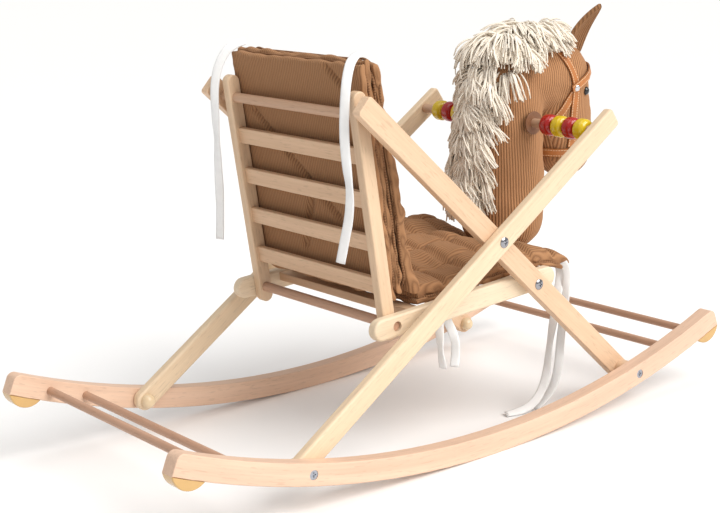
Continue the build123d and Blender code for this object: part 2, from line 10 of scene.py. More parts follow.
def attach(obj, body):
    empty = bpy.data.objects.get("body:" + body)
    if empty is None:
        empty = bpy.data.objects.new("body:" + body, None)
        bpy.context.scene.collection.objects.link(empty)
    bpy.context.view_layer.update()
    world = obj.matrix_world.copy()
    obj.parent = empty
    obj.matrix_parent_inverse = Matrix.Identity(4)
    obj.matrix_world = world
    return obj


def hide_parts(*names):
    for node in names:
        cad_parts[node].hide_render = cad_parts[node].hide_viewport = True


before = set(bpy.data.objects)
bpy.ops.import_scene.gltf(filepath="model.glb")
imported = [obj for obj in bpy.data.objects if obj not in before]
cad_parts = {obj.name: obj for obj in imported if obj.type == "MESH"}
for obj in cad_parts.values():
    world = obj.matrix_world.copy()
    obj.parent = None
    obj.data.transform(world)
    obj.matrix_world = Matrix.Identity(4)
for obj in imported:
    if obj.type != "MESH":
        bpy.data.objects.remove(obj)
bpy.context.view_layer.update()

root_body = "frame"

# Side views below are in millimetres in the bench view, the way the wooden pieces were laid out:
# x forward, y left, z up from the lowest point of the rockers' arc. place() turns them into the
# row frame, where the horse rests tipped forward by REST_TILT.
REST_TILT = math.radians(1.113)
BENCH_SHIFT = 20.71
ROCKER_RADIUS = 1150.0
SIN, COS = math.sin(REST_TILT), math.cos(REST_TILT)


def turn(x, y, z):
    """A bench direction in the row frame."""
    return Vector((x * COS + z * SIN, y, z * COS - x * SIN))


def place(x, y, z):
    """A bench point in the row frame, in metres."""
    shift = Vector((BENCH_SHIFT - ROCKER_RADIUS * SIN, 0, ROCKER_RADIUS * (1 - COS)))
    return (turn(x, y, z) + shift) / 1000


# ---------------------------------------------------------------- camera, lights and floor
CAMERA_EYE = (-1192.7, -1440.0, 639.1)
CAMERA_TURN = (0.893, -0.224, -0.015)  # yaw, pitch and roll in radians
CAMERA_LENS = 76.887
SKY_STRENGTH = 0.47
SUN_STRENGTH = 3.2
SUN_SPREAD = math.radians(50)
SUN_AIM = Vector((-0.35, 1.0, -0.95))
FLOOR_REACH = 60.0
EXPOSURE = 0.03


def make_camera():
    yaw, pitch, roll = CAMERA_TURN
    forward = Vector((math.cos(yaw) * math.cos(pitch), math.sin(yaw) * math.cos(pitch),
                      math.sin(pitch)))
    level = forward.cross(Vector((0, 0, 1))).normalized()
    upright = level.cross(forward)
    right = level * math.cos(roll) + upright * math.sin(roll)
    up = upright * math.cos(roll) - level * math.sin(roll)
    forward, right, up = turn(*forward), turn(*right), turn(*up)
    data = bpy.data.cameras.new("camera")
    data.sensor_width = 36.0
    data.lens = CAMERA_LENS
    data.clip_end = 200.0
    camera = bpy.data.objects.new("camera", data)
    bpy.context.collection.objects.link(camera)
    turned = Matrix((right, up, -forward)).transposed().to_4x4()
    camera.matrix_world = Matrix.Translation(place(*CAMERA_EYE)) @ turned
    bpy.context.scene.camera = camera


def area_light(name, spot, target, size, power):
    data = bpy.data.lights.new(name, "AREA")
    data.shape = "SQUARE"
    data.size = size
    data.energy = power
    light = bpy.data.objects.new(name, data)
    bpy.context.collection.objects.link(light)
    light.location = spot
    light.rotation_euler = (Vector(target) - Vector(spot)).to_track_quat("-Z", "Y").to_euler()


def make_stage():
    world = bpy.data.worlds.new("studio")
    bpy.context.scene.world = world
    world.use_nodes = True
    sky = world.node_tree.nodes["Background"]
    sky.inputs["Color"].default_value = (1, 1, 1, 1)
    sky.inputs["Strength"].default_value = SKY_STRENGTH
    sun = bpy.data.lights.new("window", "SUN")
    sun.energy = SUN_STRENGTH
    sun.angle = SUN_SPREAD
    sun.color = (1.0, 0.985, 0.96)
    holder = bpy.data.objects.new("window", sun)
    bpy.context.collection.objects.link(holder)
    holder.rotation_euler = SUN_AIM.to_track_quat("-Z", "Y").to_euler()
    area_light("top", (-0.3, 0.2, 2.2), (0, 0, 0.25), 1.5, 9)
    mesh = bpy.data.meshes.new("floor")
    reach = FLOOR_REACH
    mesh.from_pydata([(-reach, -reach, 0), (reach, -reach, 0), (reach, reach, 0),
                      (-reach, reach, 0)], [], [(0, 1, 2, 3)])
    floor = bpy.data.objects.new("floor", mesh)
    bpy.context.collection.objects.link(floor)
    material = new_material("floor_paper", roughness=0.55)
    shader_of(material).inputs["Base Color"].default_value = (0.95, 0.945, 0.94, 1)
    mesh.materials.append(material)
    scene = bpy.context.scene
    scene.view_settings.view_transform = "Standard"
    scene.view_settings.exposure = EXPOSURE


# ---------------------------------------------------------------- materials
def new_material(name, roughness=0.5, **values):
    material = bpy.data.materials.new(name)
    material.use_nodes = True
    shader = shader_of(material)
    shader.inputs["Roughness"].default_value = roughness
    for key, value in values.items():
        shader.inputs[key.replace("_", " ")].default_value = value
    return material


def shader_of(material):
    return material.node_tree.nodes["Principled BSDF"]


class Nodes:
    """Short calls for wiring one material's nodes."""

    def __init__(self, material):
        self.tree = material.node_tree
        self.shader = shader_of(material)

    def node(self, kind, **settings):
        made = self.tree.nodes.new("ShaderNode" + kind)
        for key, value in settings.items():
            setattr(made, key, value)
        return made

    def feed(self, socket, value):
        if isinstance(value, bpy.types.NodeSocket):
            self.tree.links.new(value, socket)
        else:
            socket.default_value = value

    def math(self, operation, *values):
        made = self.node("Math", operation=operation)
        for socket, value in zip(made.inputs, values):
            self.feed(socket, value)
        return made.outputs[0]

    def coordinates(self, kind="Object"):
        return self.node("TexCoord").outputs[kind]

    def mapped(self, vector, scale=(1, 1, 1), rotation=(0, 0, 0), offset=(0, 0, 0)):
        made = self.node("Mapping")
        self.feed(made.inputs["Vector"], vector)
        made.inputs["Scale"].default_value = scale
        made.inputs["Rotation"].default_value = rotation
        made.inputs["Location"].default_value = offset
        return made.outputs[0]

    def noise(self, vector, scale, detail=3.0, roughness=0.5, distortion=0.0):
        made = self.node("TexNoise")
        self.feed(made.inputs["Vector"], vector)
        for key, value in (("Scale", scale), ("Detail", detail), ("Roughness", roughness),
                           ("Distortion", distortion)):
            self.feed(made.inputs[key], value)
        return made.outputs["Fac"]

    def ramp(self, value, *stops):
        made = self.node("ValToRGB")
        self.feed(made.inputs[0], value)
        colours = made.color_ramp.elements
        while len(colours) < len(stops):
            colours.new(0.5)
        for element, (position, colour) in zip(colours, stops):
            element.position = position
            element.color = (*colour, 1) if len(colour) == 3 else colour
        return made.outputs[0]

    def mix(self, amount, first, second, blend="MIX"):
        made = self.node("Mix", data_type="RGBA", blend_type=blend)
        self.feed(made.inputs[0], amount)
        for socket, value in ((made.inputs[6], first), (made.inputs[7], second)):
            if isinstance(value, tuple) and len(value) == 3:
                value = (*value, 1)
            self.feed(socket, value)
        return made.outputs[2]

    def grey(self, value, low, high, from_low=0.0):
        """Map a value between from_low and 1 to low and high."""
        made = self.node("MapRange")
        self.feed(made.inputs["Value"], value)
        made.inputs["From Min"].default_value = from_low
        made.inputs["To Min"].default_value = low
        made.inputs["To Max"].default_value = high
        return made.outputs[0]

    def bump(self, height, strength, distance):
        made = self.node("Bump")
        made.inputs["Strength"].default_value = strength
        made.inputs["Distance"].default_value = distance
        self.feed(made.inputs["Height"], height)
        self.feed(self.shader.inputs["Normal"], made.outputs[0])


def wood(name, pale, dark, grain_angle=0.0, across=False, arc=False):
    """Planed beech. The grain runs along +X turned by grain_angle in the side view, along Y if
    across, or round the rockers' arc."""
    roughness = 0.48
    material = new_material(name, roughness, Coat_Weight=0.06, Coat_Roughness=0.3)
    n = Nodes(material)
    point = n.coordinates()
    if arc:
        split = n.node("SeparateXYZ")
        n.feed(split.inputs[0], point)
        centre = place(0, 0, ROCKER_RADIUS)
        ahead = n.math("SUBTRACT", split.outputs[0], centre.x)
        below = n.math("SUBTRACT", centre.z, split.outputs[2])
        joined = n.node("CombineXYZ")
        n.feed(joined.inputs[0], n.math("ARCTAN2", ahead, below))
        n.feed(joined.inputs[1], split.outputs[1])
        n.feed(joined.inputs[2], n.math("SQRT", n.math("ADD", n.math("MULTIPLY", ahead, ahead),
                                                       n.math("MULTIPLY", below, below))))
        point = joined.outputs[0]
    rotation = (0, 0, math.radians(90)) if across else (0, math.radians(grain_angle), 0)
    along = n.mapped(point, rotation=rotation)
    fine = n.noise(n.mapped(along, (14, 420, 420)), 1.0, 4, 0.6)
    broad = n.noise(n.mapped(along, (3.5, 38, 62), offset=(7, 3, 1)), 1.0, 3, 0.55, 0.6)
    flecks = n.noise(n.mapped(along, (70, 900, 520)), 1.0, 1, 0.4)
    colour = n.mix(n.grey(broad, -0.25, 1.2), pale, dark)
    colour = n.mix(n.grey(fine, -0.15, 0.55), colour, tuple(c * 0.72 for c in dark))
    fleck = n.ramp(flecks, (0.62, (0, 0, 0)), (0.7, (1, 1, 1)))
    colour = n.mix(n.math("MULTIPLY", fleck, 0.28), colour, tuple(c * 0.55 for c in dark))
    n.feed(n.shader.inputs["Base Color"], colour)
    n.feed(n.shader.inputs["Roughness"], n.grey(fine, roughness - 0.08, roughness + 0.14))
    n.bump(fine, 0.18, 0.0006)
    return material


# dark is the painted shade colour at the bottom of the grooves between the ribs; pale is the rib
# tops.
def corduroy(name, pitch, pale=(0.37, 0.185, 0.088), dark=(0.115, 0.05, 0.022), wavy=0.5,
             seams=False):
    """Ribbed cotton. The UV map is in metres and the ribs are pitch apart along its U. wavy is
    how far they stray, in radians, and seams adds a dark line down the middle, at y = 0."""
    material = new_material(name, 0.93, Sheen_Weight=0.16, Sheen_Roughness=0.45)
    shader_of(material).inputs["Sheen Tint"].default_value = (0.80, 0.55, 0.36, 1)
    shader_of(material).inputs["Specular IOR Level"].default_value = 0.12
    n = Nodes(material)
    uv = n.node("SeparateXYZ")
    n.feed(uv.inputs[0], n.coordinates("UV"))
    point = n.coordinates()
    wander = n.grey(n.noise(point, 30, 1), -wavy / 2, wavy / 2)
    phase = n.math("ADD", n.math("MULTIPLY", uv.outputs[0], 2 * math.pi / pitch), wander)
    rib = n.math("POWER", n.grey(n.math("SINE", phase), 0, 1, from_low=-1), 0.55)
    pile = n.noise(point, 900, 2, 0.7)
    tone = n.noise(point, 16, 3, 0.6)
    # The ribs blend from dark in the grooves to pale on their tops: the dark in the grooves is
    # painted shade.
    colour = n.mix(rib, dark, pale)
    colour = n.mix(n.grey(tone, -0.2, 0.75), colour, tuple(c * 0.72 for c in pale))
    colour = n.mix(n.grey(pile, 0.0, 0.3), colour, (0.47, 0.26, 0.135))
    if seams:
        place_y = n.node("SeparateXYZ")
        n.feed(place_y.inputs[0], point)
        off = n.math("ABSOLUTE", place_y.outputs[1])
        seam = n.ramp(n.math("MULTIPLY", off, 300), (0.12, (1, 1, 1)), (0.5, (0, 0, 0)))
        colour = n.mix(n.math("MULTIPLY", seam, 0.7), colour, tuple(c * 0.4 for c in dark))
        rib = n.math("SUBTRACT", rib, seam)
    n.feed(n.shader.inputs["Base Color"], colour)
    height = n.math("ADD", rib, n.math("MULTIPLY", pile, 0.5))
    n.bump(height, 0.75, 0.0011)
    return material


def lacquer(name, colour):
    material = new_material(name, 0.2, Coat_Weight=0.3, Coat_Roughness=0.1)
    n = Nodes(material)
    point = n.coordinates()
    mottle = n.noise(point, 55, 2)
    n.feed(n.shader.inputs["Base Color"],
           n.mix(n.grey(mottle, 0, 0.6), colour, tuple(c * 0.68 for c in colour)))
    n.bump(n.noise(point, 120, 1), 0.02, 0.0004)
    return material


def metal(name, colour, roughness):
    material = new_material(name, roughness, Metallic=1.0)
    n = Nodes(material)
    scratch = n.noise(n.mapped(n.coordinates(), (300, 60, 300)), 1.0, 4, 0.7)
    n.feed(n.shader.inputs["Base Color"],
           n.mix(n.grey(scratch, 0, 0.7), colour, tuple(c * 0.6 for c in colour)))
    n.feed(n.shader.inputs["Roughness"], n.grey(scratch, roughness * 0.7, roughness * 1.5))
    return material


def leather(name, colour, stitched=False):
    """Tan leather. On a stitched strap, UV U runs along it in metres and V across it, 0 to 1."""
    material = new_material(name, 0.52)
    n = Nodes(material)
    point = n.coordinates()
    grain = n.node("TexVoronoi", feature="DISTANCE_TO_EDGE")
    n.feed(grain.inputs["Vector"], point)
    grain.inputs["Scale"].default_value = 900
    tone = n.noise(point, 60, 4, 0.6)
    shade = n.mix(n.grey(tone, -0.1, 1.0), colour, tuple(c * 0.5 for c in colour))
    height = grain.outputs["Distance"]
    if stitched:
        stitch_pitch, line_place, line_half_width = 0.0034, 0.33, 0.035
        uv = n.node("SeparateXYZ")
        n.feed(uv.inputs[0], n.coordinates("UV"))
        across = n.math("ABSOLUTE", n.math("SUBTRACT", uv.outputs[1], 0.5))
        from_line = n.math("ABSOLUTE", n.math("SUBTRACT", across, line_place))
        line = n.math("LESS_THAN", from_line, line_half_width)
        turns = n.math("MULTIPLY", uv.outputs[0], 2 * math.pi / stitch_pitch)
        dash = n.math("GREATER_THAN", n.math("SINE", turns), -0.45)
        thread = n.math("MULTIPLY", line, dash)
        shade = n.mix(thread, shade, (0.74, 0.56, 0.36))
        edge = n.math("GREATER_THAN", across, 0.455)
        shade = n.mix(n.math("MULTIPLY", edge, 0.7), shade, tuple(c * 0.35 for c in colour))
        height = n.math("ADD", height, n.math("MULTIPLY", thread, 1.2))
    n.feed(n.shader.inputs["Base Color"], shade)
    n.bump(height, 0.35, 0.0006)
    return material


def tape_material():
    """Plain woven cotton tape: U along it in metres, V across it."""
    warp_ends, weft_pitch = 13, 0.0013
    material = new_material("cotton_tape", 0.85, Sheen_Weight=0.2)
    n = Nodes(material)
    uv = n.node("SeparateXYZ")
    n.feed(uv.inputs[0], n.coordinates("UV"))
    warp = n.math("SINE", n.math("MULTIPLY", uv.outputs[1], 2 * math.pi * warp_ends))
    weft = n.math("SINE", n.math("MULTIPLY", uv.outputs[0], 2 * math.pi / weft_pitch))
    weave = n.math("MULTIPLY", warp, weft)
    across = n.math("ABSOLUTE", n.math("SUBTRACT", uv.outputs[1], 0.5))
    edge = n.math("GREATER_THAN", across, 0.44)
    colour = n.mix(n.grey(n.noise(n.coordinates(), 90, 2), 0, 0.8), (0.93, 0.93, 0.92),
                   (0.82, 0.82, 0.82))
    # The strips along both edges are mixed towards grey: painted shade along the tape's edges.
    colour = n.mix(n.math("MULTIPLY", edge, 0.4), colour, (0.70, 0.70, 0.70))
    n.feed(n.shader.inputs["Base Color"], colour)
    n.bump(weave, 0.4, 0.0003)
    return material


def yarn_material():
    material = new_material("cream_yarn", 0.95, Sheen_Weight=0.25)
    n = Nodes(material)
    point = n.coordinates()
    twist = n.noise(point, 420, 3, 0.7)
    tone = n.noise(point, 46, 3, 0.6)
    colour = n.mix(n.grey(tone, -0.4, 1.3), (0.97, 0.91, 0.82), (0.84, 0.75, 0.62))
    colour = n.mix(n.grey(twist, -0.1, 0.45), colour, (0.68, 0.57, 0.43))
    n.feed(n.shader.inputs["Base Color"], colour)
    n.bump(twist, 0.7, 0.0012)
    return material


def paint_nodes():
    """Give every carried-over CAD node its finish."""
    handle_angle, back_angle = 34.6, 137.9
    rail_angle, stile_angle = 4.2, 98.5
    finishes = {
        "rocker_right rocker_left": wood("beech_rocker", (0.84, 0.60, 0.44),
                                         (0.66, 0.43, 0.30), arc=True),
        "handle_arm_right handle_arm_left": wood("cream_arm", (0.83, 0.665, 0.465),
                                                 (0.70, 0.51, 0.33), handle_angle),
        "back_arm_right back_arm_left arm_spacers": wood("tan_arm", (0.80, 0.575, 0.39),
                                                         (0.66, 0.43, 0.265), back_angle),
        "seat_rail_right seat_rail_left": wood("pale_rail", (0.86, 0.73, 0.55),
                                               (0.73, 0.56, 0.38), rail_angle),
        "back_stile_right back_stile_left": wood("pale_stile", (0.80, 0.60, 0.41),
                                                 (0.66, 0.45, 0.28), stile_angle),
        "lower_dowel rear_end_dowel rear_inner_dowel front_inner_dowel front_end_dowel":
            wood("red_dowel", (0.58, 0.35, 0.235), (0.42, 0.23, 0.14), across=True),
        "top_dowel handle_bar": wood("pink_dowel", (0.60, 0.38, 0.25), (0.47, 0.28, 0.17),
                                     across=True),
        "stops_rear stops_front": lacquer("yellow_stop", (0.62, 0.38, 0.14)),
        "cap_nuts": lacquer("cap_cream", (0.78, 0.60, 0.38)),
        "bolt_sleeves bolt_screws": metal("polished_chrome", (0.40, 0.40, 0.43), 0.12),
        "rocker_bolts stop_screws": metal("zinc_plate", (0.45, 0.47, 0.52), 0.28),
        "bar_washers": leather("washer_leather", (0.27, 0.115, 0.05)),
    }
    for names, material in finishes.items():
        for name in names.split():
            dress(name, material)
    slat = wood("pale_slat", (0.74, 0.50, 0.32), (0.60, 0.38, 0.225), across=True)
    red = lacquer("bead_red", (0.42, 0.008, 0.006))
    yellow = lacquer("bead_yellow", (0.72, 0.50, 0.006))
    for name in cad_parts:
        if "slat" in name:
            dress(name, slat)
        if name.startswith("bead_"):
            dress(name, red if name.endswith("red") else yellow)


def dress(name, material):
    mesh = bpy.data.objects[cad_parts[name].name].data
    mesh.materials.clear()
    mesh.materials.append(material)


# ---------------------------------------------------------------- mesh helpers
def add_piece(name, mesh, slot, *replaced):
    piece = bpy.data.objects.new(name, mesh)
    bpy.context.collection.objects.link(piece)
    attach(piece, root_body)
    if replaced:
        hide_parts(*replaced)
    return piece


def shade_smooth(mesh):
    mesh.polygons.foreach_set("use_smooth", [True] * len(mesh.polygons))


def mesh_of(body, name):
    """Turn a bmesh into a mesh and free it."""
    mesh = bpy.data.meshes.new(name)
    body.to_mesh(mesh)
    body.free()
    return mesh


def skin_rings(body, uv, rings, steps, places):
    """Join rings of vertices into a closed skin. steps is each ring's U and places is the V
    of each vertex round a ring."""
    size = len(places)
    for index in range(len(rings) - 1):
        for k in range(size):
            m = (k + 1) % size
            face = body.faces.new((rings[index][k], rings[index][m],
                                   rings[index + 1][m], rings[index + 1][k]))
            for loop, (i, v) in zip(face.loops, ((0, k), (0, m), (1, m), (1, k))):
                loop[uv].uv = (steps[index + i], places[v])
    body.faces.new(rings[0])
    body.faces.new(reversed(rings[-1]))
    bmesh.ops.recalc_face_normals(body, faces=body.faces)


def settle(piece):
    """Apply every modifier of a piece to its mesh."""
    graph = bpy.context.evaluated_depsgraph_get()
    made = bpy.data.meshes.new_from_object(piece.evaluated_get(graph))
    piece.modifiers.clear()
    piece.data = made
    shade_smooth(made)


def set_uv(mesh, uv_of):
    """Fill the UV map from a function of a face and one of its corners."""
    layer = mesh.uv_layers.get("UVMap") or mesh.uv_layers.new(name="UVMap")
    for face in mesh.polygons:
        for loop, vertex in zip(face.loop_indices, face.vertices):
            layer.data[loop].uv = uv_of(face, mesh.vertices[vertex].co)


# ---------------------------------------------------------------- cushions
LOWER_DOWEL = (-94.0, 168.8)
BACK_DIRECTION = (-0.1485, 0.9889)
RAIL_DIRECTION = (0.9973, 0.0740)
DROOP_START = 250.0  # how far along the rails the pad starts to hang
SEAT_DROOP = 18.0
SEAM_WIDTH = 4.2
TUFT_DEPTH, TUFT_RADIUS = 13.0, 17.0
CREASE_HEIGHT, CREASE_WIDTH = 6.5, 3.6
RIM_WIDTH = 14.0
CLOTH_RIB_PITCH = 0.0034


def slab_point(direction, reach, side, lift):
    """A bench point on a slab whose middle line starts at the lower dowel. lift is square to
    the line, on the rider's side of it."""
    ux, uz = direction
    nx, nz = (uz, -ux) if uz > 0.5 else (-uz, ux)
    return (LOWER_DOWEL[0] + ux * reach + nx * lift, side, LOWER_DOWEL[1] + uz * reach + nz * lift)


def front_drop(reach, high, droop):
    """How far a slab that ends at high hangs at a reach past DROOP_START."""
    past = min(max((reach - DROOP_START) / (high - DROOP_START), 0), 1)
    return droop * past ** 1.2


def pad_layer(reaches, sides, lifts, direction, seed, ruck, ruffle, swell=0.0, seams=(),
              gores=(), tufts=(), creases=(), pressed=None, spread=0.0, droop=0.0, puff=0.0):
    """Points and faces of one quilted layer: a rounded slab with a waved surface.

    ruck is how strong the waves are, ruffle how far the rim strays, and swell how far the
    middle stands up. seams are reaches and gores are sides of sewn lines that pinch the
    layer, and tufts are the (reach, side) of ties. creases are folds across the back, between
    two such points. pressed is a (reach, side, radius) where something rests on it. spread
    lifts the lower end by that share, droop lets the front end hang and puff swells the left
    half more."""
    long_count, wide_count = 100, 92
    low, high = reaches
    left, right = sides
    bottom, top = lifts
    half = (top - bottom) / 2
    seam_depth = 7.5 if gores else 3.2
    rows = []
    for top_side in (1, -1):
        grid = []
        for i in range(long_count + 1):
            row = []
            for j in range(wide_count + 1):
                u, v = i / long_count, j / wide_count
                reach = low + (high - low) * (0.5 - 0.5 * math.cos(math.pi * u))
                side = left + (right - left) * (0.5 - 0.5 * math.cos(math.pi * v))
                edge = min(reach - low, high - reach, side - left, right - side)
                bulge = math.sqrt(max(0.0, 1 - (1 - min(edge / half, 1)) ** 2))
                crown = swell * (math.sin(math.pi * u) * math.sin(math.pi * v)) ** 0.5
                crown *= 1 + puff * side / right
                if pressed:
                    far = math.hypot(reach - pressed[0], side - pressed[1]) / pressed[2]
                    crown *= 1 - math.exp(-far ** 4)
                pinch = 0.0
                stray = 3.0 * noise.noise(Vector((reach * 0.03, side * 0.03, seed + 5)))
                for line in seams:
                    pinch += seam_depth * math.exp(-((reach - line + stray) / SEAM_WIDTH) ** 2)
                for line in gores:
                    pinch += seam_depth * math.exp(-((side - line + stray) / SEAM_WIDTH) ** 2)
                for spot in tufts:
                    far = math.hypot(reach - spot[0], side - spot[1])
                    pinch += TUFT_DEPTH * math.exp(-(far / TUFT_RADIUS) ** 1.5)
                at = Vector((reach * 0.017, side * 0.017, seed))
                wave = 2.3 * ruck * noise.noise(at) + 1.3 * ruck * noise.noise(at * 2.7)
                lift = (top + bottom) / 2 + top_side * bulge * half
                if top_side > 0:
                    lift += bulge * (crown + wave - min(pinch, crown + half))
                for start, end in creases if top_side < 0 else ():
                    dr, ds = end[0] - start[0], end[1] - start[1]
                    t = ((reach - start[0]) * dr + (side - start[1]) * ds) / (dr * dr + ds * ds)
                    far = math.hypot(reach - start[0] - dr * min(max(t, 0), 1),
                                     side - start[1] - ds * min(max(t, 0), 1))
                    lift += bulge * CREASE_HEIGHT * math.exp(-(far / CREASE_WIDTH) ** 2)
                lift *= 1 + spread * (1 - u) ** 1.1
                lift -= front_drop(reach, high, droop)
                pull = ruffle * noise.noise(Vector((reach * 0.045, side * 0.045, seed + 9)))
                rim = 1 - min(edge / RIM_WIDTH, 1)
                lift += rim * ruffle * 0.7 * noise.noise(Vector((reach * 0.07, side * 0.07, seed)))
                row.append(slab_point(direction, reach + pull * rim, side + pull * rim, lift))
            grid.append(row)
        rows.append(grid)
    points, faces = [], []
    for grid in rows:
        start = len(points)
        for row in grid:
            points.extend(row)
        width = wide_count + 1
        for i in range(long_count):
            for j in range(wide_count):
                a = start + i * width + j
                faces.append((a, a + 1, a + width + 1, a + width))
    return points, faces


def build_pad(name, layers, node):
    """Join layers into one piece, weld the rims, and lay the ribs along the slab's length."""
    points, faces = [], []
    for layer_points, layer_faces in layers:
        start = len(points)
        points.extend(layer_points)
        faces.extend(tuple(start + k for k in face) for face in layer_faces)
    mesh = bpy.data.meshes.new(name)
    mesh.from_pydata([place(*p) for p in points], [], faces)
    body = bmesh.new()
    body.from_mesh(mesh)
    bmesh.ops.remove_doubles(body, verts=body.verts, dist=0.0002)
    bmesh.ops.recalc_face_normals(body, faces=body.faces)
    body.to_mesh(mesh)
    body.free()
    shade_smooth(mesh)
    set_uv(mesh, lambda face, corner: (corner.y, corner.z))
    # The second colour is the painted shade at the bottom of the rib grooves.
    mesh.materials.append(corduroy(name + "_cloth", CLOTH_RIB_PITCH, (0.41, 0.21, 0.102),
                                   (0.165, 0.076, 0.036)))
    add_piece(name, mesh, "tan_corduroy", node)


def piping(name, points, radius, material):
    """A thin sewn cord round a closed line of bench points."""
    curve = bpy.data.curves.new(name, "CURVE")
    curve.dimensions = "3D"
    curve.bevel_depth = radius / 1000
    curve.bevel_resolution = 3
    curve.resolution_u = 6
    line = curve.splines.new("BEZIER")
    line.bezier_points.add(len(points) - 1)
    for knot, point in zip(line.bezier_points, points):
        knot.co = place(*point)
        knot.handle_left_type = knot.handle_right_type = "AUTO"
    line.use_cyclic_u = True
    curve.materials.append(material)
    add_piece(name, curve, "tan_corduroy")


def rim_points(direction, reaches, sides, lift, seed, droop=0.0):
    """Bench points round a slab's edge, slightly rucked."""
    count, inset = 11, 3.0
    low, high = reaches[0] + inset, reaches[1] - inset
    left, right = sides[0] + inset, sides[1] - inset
    corners = [(low, left), (high, left), (high, right), (low, right)]
    points = []
    for (r0, s0), (r1, s1) in zip(corners, corners[1:] + corners[:1]):
        for k in range(count):
            t = 0.06 + 0.88 * k / (count - 1)
            reach, side = r0 + (r1 - r0) * t, s0 + (s1 - s0) * t
            ruck = noise.noise(Vector((reach * 0.04, side * 0.04, seed)))
            height = lift + 1.6 * ruck - front_drop(reach, high, droop)
            points.append(slab_point(direction, reach, side, height))
    return points


def make_cushions():
    edge = corduroy("edge_cloth", 0.0030, pale=(0.28, 0.135, 0.065))
    folds = (((231, 97), (114, -46)), ((130, 5), (67, 30)), ((296, -60), (262, -100)))
    layers = [
        pad_layer((24, 301), (-122, 130), (9.9, 19.6), BACK_DIRECTION, 1.0, 0.6, 3.5,
                  creases=folds, spread=0.1),
        pad_layer((26, 303), (-120, 128), (19.8, 28.6), BACK_DIRECTION, 4.0, 0.8, 4.5,
                  spread=0.22),
        pad_layer((24, 299), (-121, 128), (28.8, 37.5), BACK_DIRECTION, 7.0, 1.4, 4.5,
                  swell=6.0, seams=(78, 136, 192, 246), spread=0.4),
    ]
    build_pad("back_pad", layers, "back_cushion")
    for index, lift in enumerate((20.1, 29.1, 36.5)):
        points = rim_points(BACK_DIRECTION, (24, 303), (-122, 129), lift, 3 + index)
        piping(f"back_piping_{index + 1}", points, 1.5, edge)
    tufts = ((120, -60), (196, -98), (196, 40))
    layers = [
        pad_layer((47, 303), (-124, 124), (9.4, 16.0), RAIL_DIRECTION, 12.0, 0.6, 3.5,
                  droop=SEAT_DROOP),
        pad_layer((49, 304), (-123, 123), (16.0, 24.0), RAIL_DIRECTION, 15.0, 2.4, 4.5,
                  swell=23.0, seams=(92, 140, 188, 236, 276), gores=(-74, -22, 30, 82),
                  tufts=tufts, pressed=(300, 0, 82), droop=SEAT_DROOP, puff=0.3),
    ]
    build_pad("seat_pad", layers, "seat_cushion")
    points = rim_points(RAIL_DIRECTION, (47, 304), (-124, 124), 16.0, 21, droop=SEAT_DROOP)
    piping("seat_piping", points, 1.7, edge)


# ---------------------------------------------------------------- stuffed head
NECK_CENTRE = 205.0
NECK_RADIUS = 0.049
MUZZLE_TOP = (302.0, 414.0)
MUZZLE_END = (322.0, 320.0)
EAR_LENGTH, EAR_WIDTH = 76.0, 36.0
EAR_LEANS = ((-1, 34.0), (1, 72.0))  # each ear's side, and its lean in degrees
EYE_SPOT = (326, 395)
RIVET_SPOTS = ((300, 402), (303, 338))


def blob_points(start, end, radius_start, radius_end, wide_start, wide_end, name, square=2.0):
    """A smooth capsule between two bench side-view points, with its own width across. Its ends
    are squarer the higher square is."""
    count, around = 22, 40
    ax, az = end[0] - start[0], end[1] - start[1]
    length = math.hypot(ax, az)
    ux, uz = ax / length, az / length
    points, faces = [], []
    for i in range(count + 1):
        u = i / count
        bend = math.cos(math.pi * (1 - u))
        travel = (length + radius_start + radius_end) * (0.5 + 0.5 * bend) - radius_start
        share = min(max(travel / length, 0), 1)
        radius = radius_start + (radius_end - radius_start) * share
        wide = wide_start + (wide_end - wide_start) * share
        over = max(-travel / radius_start, (travel - length) / radius_end, 0)
        shrink = max(0.0, 1 - over ** square) ** (1 / square)
        for k in range(around):
            turned = 2 * math.pi * k / around
            side_step = radius * shrink * math.cos(turned)
            points.append(place(start[0] + ux * travel - uz * side_step,
                                wide * shrink * math.sin(turned),
                                start[1] + uz * travel + ux * side_step))
    for i in range(count):
        for k in range(around):
            a, b = i * around + k, i * around + (k + 1) % around
            faces.append((a, b, b + around, a + around))
    mesh = bpy.data.meshes.new(name)
    mesh.from_pydata(points, [], faces)
    body = bmesh.new()
    body.from_mesh(mesh)
    bmesh.ops.remove_doubles(body, verts=body.verts, dist=0.0001)
    bmesh.ops.holes_fill(body, edges=body.edges)
    bmesh.ops.recalc_face_normals(body, faces=body.faces)
    body.to_mesh(mesh)
    body.free()
    return mesh


